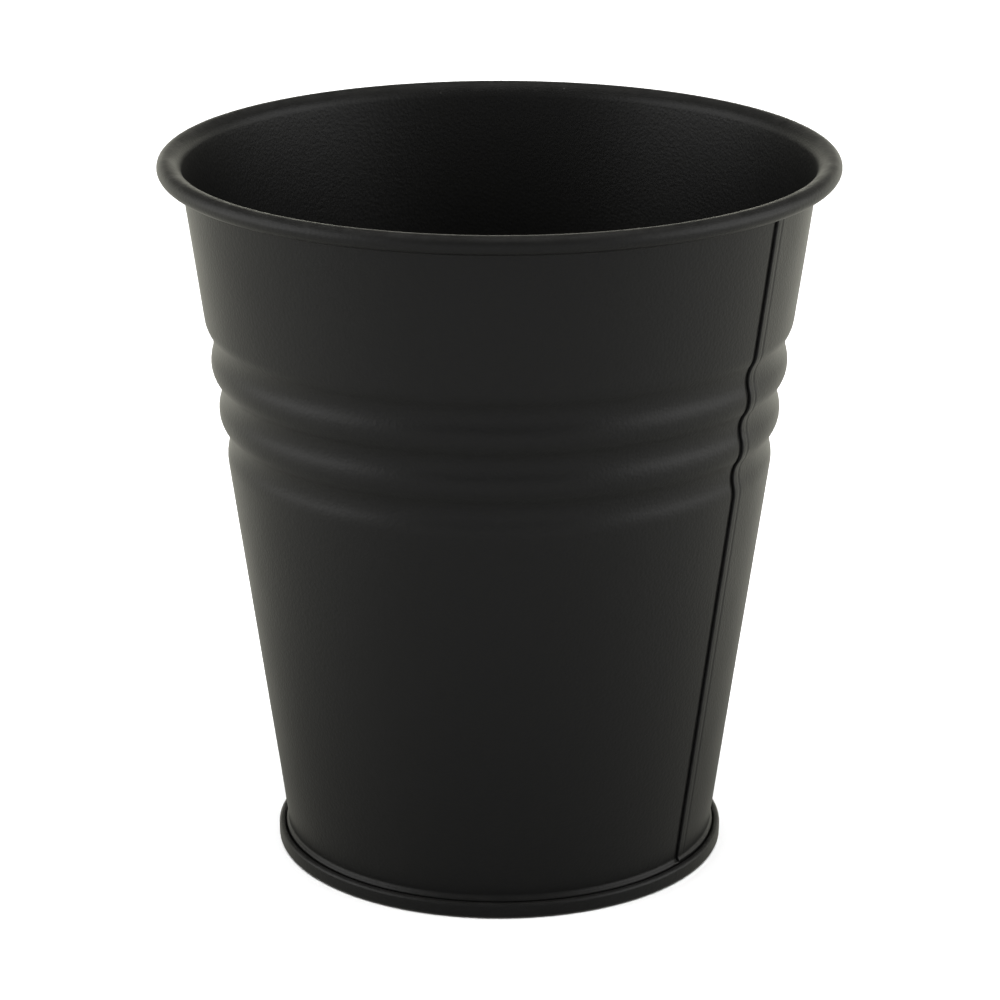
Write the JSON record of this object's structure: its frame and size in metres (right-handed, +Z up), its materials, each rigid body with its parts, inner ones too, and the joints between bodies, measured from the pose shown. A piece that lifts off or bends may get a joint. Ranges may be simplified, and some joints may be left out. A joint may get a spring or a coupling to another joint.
{
  "type": "florist bucket",
  "caption": "Round tapered sheet-steel bucket with a rolled rim, ring grooves, a folded side seam and a folded foot, open at the top.",
  "frame": {"origin": "centre of the plane the foot rests on", "axes": "+Z up along the bucket's axis, out of its mouth; +X from the axis towards the middle of the side seam"},
  "size_m": [0.15, 0.15, 0.1605],
  "materials": {
    "coated_steel": "fine-textured satin black powder coat",
    "bare_steel": "drawn galvanised wire",
    "sealing_compound": "cured seam compound"
  },
  "bodies": {
    "root": {"body_wall": "coated_steel", "base_pan": "coated_steel", "rim_wire": "bare_steel", "base_seam_sealant": "sealing_compound", "side_seam_sealant": "sealing_compound"}
  },
  "joints": []
}
